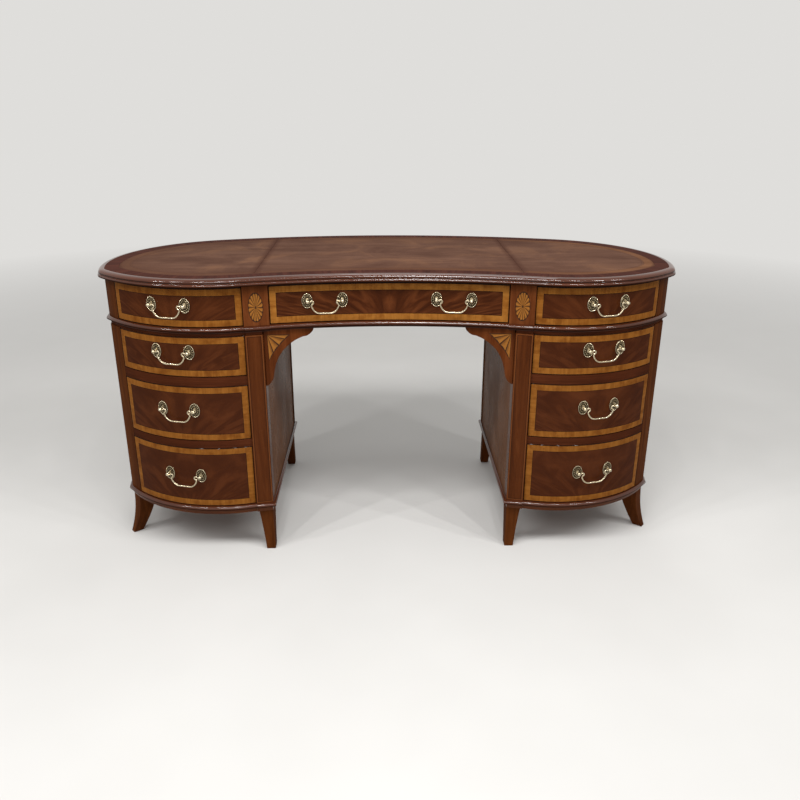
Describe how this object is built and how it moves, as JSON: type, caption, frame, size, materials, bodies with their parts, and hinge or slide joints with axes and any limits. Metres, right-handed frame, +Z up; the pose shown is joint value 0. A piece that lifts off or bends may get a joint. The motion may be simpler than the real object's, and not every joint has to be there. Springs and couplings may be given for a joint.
{
  "type": "kidney shaped desk",
  "caption": "Kidney shaped inlaid pedestal desk with a leather writing top, bow-fronted drawers on both pedestals, a kneehole drawer and splayed feet.",
  "frame": {"origin": "middle of the desk's footprint, on the floor", "axes": "+X along the length to the user's right, +Y from the drawer front to the back, +Z up; the user sits on the -Y side"},
  "size_m": [1.5278, 0.672, 0.7711],
  "materials": {
    "mahogany": "french polished mahogany veneer",
    "mahogany_front": "french polished flame mahogany, satinwood crossbanding, brass plates and posts",
    "mahogany_border": "french polished dark mahogany crossbanding",
    "drawer_lining": "waxed oak",
    "leather": "antiqued hide, waxed",
    "brass": "antique brass, lacquered"
  },
  "bodies": {
    "carcase": {"bracket_left": "mahogany", "bracket_right": "mahogany", "foot_left_front_inner": "mahogany", "foot_left_front_outer": "mahogany", "foot_left_rear_inner": "mahogany", "foot_left_rear_outer": "mahogany", "foot_right_front_inner": "mahogany", "foot_right_front_outer": "mahogany", "foot_right_rear_inner": "mahogany", "foot_right_rear_outer": "mahogany", "frieze_deck": "mahogany", "frieze_divider_left": "mahogany", "frieze_divider_right": "mahogany", "frieze_shell": "mahogany", "leather_centre": "leather", "leather_left": "leather", "leather_right": "leather", "pedestal_left_base": "mahogany", "pedestal_left_inner_pilaster": "mahogany", "pedestal_left_kneehole_panel": "mahogany", "pedestal_left_lower_dust_board": "mahogany", "pedestal_left_outer_pilaster": "mahogany", "pedestal_left_shell": "mahogany", "pedestal_left_upper_dust_board": "mahogany", "pedestal_right_base": "mahogany", "pedestal_right_inner_pilaster": "mahogany", "pedestal_right_kneehole_panel": "mahogany", "pedestal_right_lower_dust_board": "mahogany", "pedestal_right_outer_pilaster": "mahogany", "pedestal_right_shell": "mahogany", "pedestal_right_upper_dust_board": "mahogany", "top_board": "mahogany_border"},
    "bail_centre_left": {"bail_centre_left": "brass"},
    "bail_centre_right": {"bail_centre_right": "brass"},
    "bail_left_frieze": {"bail_left_frieze": "brass"},
    "bail_left_lower": {"bail_left_lower": "brass"},
    "bail_left_middle": {"bail_left_middle": "brass"},
    "bail_left_upper": {"bail_left_upper": "brass"},
    "bail_right_frieze": {"bail_right_frieze": "brass"},
    "bail_right_lower": {"bail_right_lower": "brass"},
    "bail_right_middle": {"bail_right_middle": "brass"},
    "bail_right_upper": {"bail_right_upper": "brass"},
    "drawer_centre": {"drawer_centre_box": "drawer_lining", "drawer_centre_front": "mahogany_front"},
    "drawer_left_frieze": {"drawer_left_frieze_box": "drawer_lining", "drawer_left_frieze_front": "mahogany_front"},
    "drawer_left_lower": {"drawer_left_lower_box": "drawer_lining", "drawer_left_lower_front": "mahogany_front"},
    "drawer_left_middle": {"drawer_left_middle_box": "drawer_lining", "drawer_left_middle_front": "mahogany_front"},
    "drawer_left_upper": {"drawer_left_upper_box": "drawer_lining", "drawer_left_upper_front": "mahogany_front"},
    "drawer_right_frieze": {"drawer_right_frieze_box": "drawer_lining", "drawer_right_frieze_front": "mahogany_front"},
    "drawer_right_lower": {"drawer_right_lower_box": "drawer_lining", "drawer_right_lower_front": "mahogany_front"},
    "drawer_right_middle": {"drawer_right_middle_box": "drawer_lining", "drawer_right_middle_front": "mahogany_front"},
    "drawer_right_upper": {"drawer_right_upper_box": "drawer_lining", "drawer_right_upper_front": "mahogany_front"}
  },
  "joints": [
    {"name": "drawer_centre_slide", "type": "slide", "parent": "carcase", "child": "drawer_centre", "axis": [0, -1, 0], "range_m": [0, 0.25]},
    {"name": "drawer_left_frieze_slide", "type": "slide", "parent": "carcase", "child": "drawer_left_frieze", "axis": [0, -1, 0], "range_m": [0, 0.27]},
    {"name": "drawer_left_lower_slide", "type": "slide", "parent": "carcase", "child": "drawer_left_lower", "axis": [0, -1, 0], "range_m": [0, 0.27]},
    {"name": "drawer_left_middle_slide", "type": "slide", "parent": "carcase", "child": "drawer_left_middle", "axis": [0, -1, 0], "range_m": [0, 0.27]},
    {"name": "drawer_left_upper_slide", "type": "slide", "parent": "carcase", "child": "drawer_left_upper", "axis": [0, -1, 0], "range_m": [0, 0.27]},
    {"name": "drawer_right_frieze_slide", "type": "slide", "parent": "carcase", "child": "drawer_right_frieze", "axis": [0, -1, 0], "range_m": [0, 0.27]},
    {"name": "drawer_right_lower_slide", "type": "slide", "parent": "carcase", "child": "drawer_right_lower", "axis": [0, -1, 0], "range_m": [0, 0.27]},
    {"name": "drawer_right_middle_slide", "type": "slide", "parent": "carcase", "child": "drawer_right_middle", "axis": [0, -1, 0], "range_m": [0, 0.27]},
    {"name": "drawer_right_upper_slide", "type": "slide", "parent": "carcase", "child": "drawer_right_upper", "axis": [0, -1, 0], "range_m": [0, 0.27]},
    {"name": "bail_centre_left_hinge", "type": "hinge", "parent": "drawer_centre", "child": "bail_centre_left", "pos_m": [-0.16184, -0.27369, 0.70349], "axis": [-0.9931, -0.1169, 0], "range_deg": [0, 150]},
    {"name": "bail_centre_right_hinge", "type": "hinge", "parent": "drawer_centre", "child": "bail_centre_right", "pos_m": [0.16184, -0.27369, 0.70349], "axis": [-0.9931, 0.1169, 0], "range_deg": [0, 150]},
    {"name": "bail_left_frieze_hinge", "type": "hinge", "parent": "drawer_left_frieze", "child": "bail_left_frieze", "pos_m": [-0.54992, -0.31281, 0.70349], "axis": [-0.9697, 0.2445, 0], "range_deg": [0, 150]},
    {"name": "bail_left_lower_hinge", "type": "hinge", "parent": "drawer_left_lower", "child": "bail_left_lower", "pos_m": [-0.54992, -0.31281, 0.24002], "axis": [-0.9697, 0.2445, 0], "range_deg": [0, 150]},
    {"name": "bail_left_middle_hinge", "type": "hinge", "parent": "drawer_left_middle", "child": "bail_left_middle", "pos_m": [-0.54992, -0.31281, 0.42699], "axis": [-0.9697, 0.2445, 0], "range_deg": [0, 150]},
    {"name": "bail_left_upper_hinge", "type": "hinge", "parent": "drawer_left_upper", "child": "bail_left_upper", "pos_m": [-0.54992, -0.31281, 0.58351], "axis": [-0.9697, 0.2445, 0], "range_deg": [0, 150]},
    {"name": "bail_right_frieze_hinge", "type": "hinge", "parent": "drawer_right_frieze", "child": "bail_right_frieze", "pos_m": [0.54992, -0.31281, 0.70349], "axis": [-0.9697, -0.2445, 0], "range_deg": [0, 150]},
    {"name": "bail_right_lower_hinge", "type": "hinge", "parent": "drawer_right_lower", "child": "bail_right_lower", "pos_m": [0.54992, -0.31281, 0.24002], "axis": [-0.9697, -0.2445, 0], "range_deg": [0, 150]},
    {"name": "bail_right_middle_hinge", "type": "hinge", "parent": "drawer_right_middle", "child": "bail_right_middle", "pos_m": [0.54992, -0.31281, 0.42699], "axis": [-0.9697, -0.2445, 0], "range_deg": [0, 150]},
    {"name": "bail_right_upper_hinge", "type": "hinge", "parent": "drawer_right_upper", "child": "bail_right_upper", "pos_m": [0.54992, -0.31281, 0.58351], "axis": [-0.9697, -0.2445, 0], "range_deg": [0, 150]}
  ]
}
